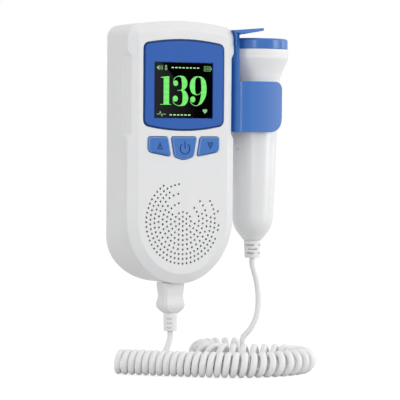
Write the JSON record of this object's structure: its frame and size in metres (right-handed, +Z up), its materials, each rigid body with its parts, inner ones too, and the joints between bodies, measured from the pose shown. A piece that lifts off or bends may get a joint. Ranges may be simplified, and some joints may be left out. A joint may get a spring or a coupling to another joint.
{
  "type": "fetal doppler monitor",
  "caption": "Handheld fetal doppler monitor with a screen, keys and loudspeaker, a clip-on side holder, a round-headed probe and a curly lead.",
  "frame": {"origin": "on the flat back of the unit, on its centre line, 36 mm below the top of the crown, where it is held", "axes": "+X to the side of the probe, which is the right seen from the front; +Y out of the back; +Z up, along the unit"},
  "size_m": [0.1097, 0.0836, 0.178],
  "materials": {
    "white_shell": "moulded ABS, satin gloss",
    "blue_shell": "moulded ABS, satin gloss",
    "display_lens": "polished clear window over a dark screen",
    "display_module": "folded metal frame",
    "ribbon": "flexible circuit",
    "steel": "bright steel",
    "contact_metal": "nickel plated",
    "dark_plastic": "moulded, matt",
    "board": "glass fibre laminate with green solder resist",
    "speaker_cloth": "black felt and pressed paper",
    "cell_wrap": "shrink sleeve",
    "sensing_face": "smooth cast resin",
    "crystal": "fired ceramic with a thin metal film",
    "damping_rubber": "filled rubber",
    "soft_white": "soft vinyl, satin"
  },
  "bodies": {
    "case": {"front_shell": "white_shell", "rear_shell": "white_shell", "display_bezel": "blue_shell", "probe_holder": "blue_shell", "display_lens": "display_lens", "lcd_module": "display_module", "display_ribbon": "ribbon", "board_screw_1": "steel", "board_screw_2": "steel", "board_screw_3": "steel", "board_screw_4": "steel", "case_screw_1": "steel", "case_screw_2": "steel", "case_screw_3": "steel", "case_screw_4": "steel", "tact_switch_up": "steel", "tact_switch_power": "steel", "tact_switch_down": "steel", "speaker_basket": "steel", "speaker_magnet": "steel", "battery_spring_left": "contact_metal", "battery_spring_right": "contact_metal", "contact_link": "contact_metal", "contact_left": "contact_metal", "contact_right": "contact_metal", "probe_socket": "dark_plastic", "main_pcb": "board", "speaker_felt": "speaker_cloth", "speaker_cone": "speaker_cloth", "battery_cell_left": "cell_wrap", "battery_cell_right": "cell_wrap", "cord_curls": "soft_white"},
    "button_up": {"button_up": "blue_shell", "switch_plunger_up": "dark_plastic"},
    "button_power": {"button_power": "blue_shell", "switch_plunger_power": "dark_plastic"},
    "button_down": {"button_down": "blue_shell", "switch_plunger_down": "dark_plastic"},
    "battery_door": {"battery_door": "white_shell"},
    "probe": {"probe_shell_front": "white_shell", "probe_shell_rear": "white_shell", "probe_cap": "blue_shell", "probe_face": "sensing_face", "crystal_transmit": "crystal", "crystal_receive": "crystal", "damping_block": "damping_rubber", "probe_board": "board", "probe_strain_relief": "soft_white", "cord_probe_lead": "soft_white"},
    "plug": {"plug_body": "soft_white", "plug_tip": "contact_metal", "plug_strain_relief": "soft_white", "cord_plug_lead": "soft_white"}
  },
  "joints": [
    {"name": "button_up_press", "type": "slide", "parent": "case", "child": "button_up", "axis": [0, 1, 0], "range_m": [0, 0.0005], "stiffness_N_per_m": 1500, "springref_m": -0.0005},
    {"name": "button_power_press", "type": "slide", "parent": "case", "child": "button_power", "axis": [0, 1, 0], "range_m": [0, 0.0005], "stiffness_N_per_m": 1500, "springref_m": -0.0005},
    {"name": "button_down_press", "type": "slide", "parent": "case", "child": "button_down", "axis": [0, 1, 0], "range_m": [0, 0.0005], "stiffness_N_per_m": 1500, "springref_m": -0.0005},
    {"name": "battery_door_hinge", "type": "hinge", "parent": "case", "child": "battery_door", "pos_m": [0, -0.0006, -0.0237], "axis": [1, 0, 0], "range_deg": [0, 75]},
    {"name": "probe_slide", "type": "slide", "parent": "case", "child": "probe", "axis": [1, 0, 0], "range_m": [0, 0.03], "deforming": ["cord_probe_lead"]},
    {"name": "plug_slide", "type": "slide", "parent": "case", "child": "plug", "axis": [0, 0, -1], "range_m": [0, 0.008], "deforming": ["cord_plug_lead"]}
  ]
}
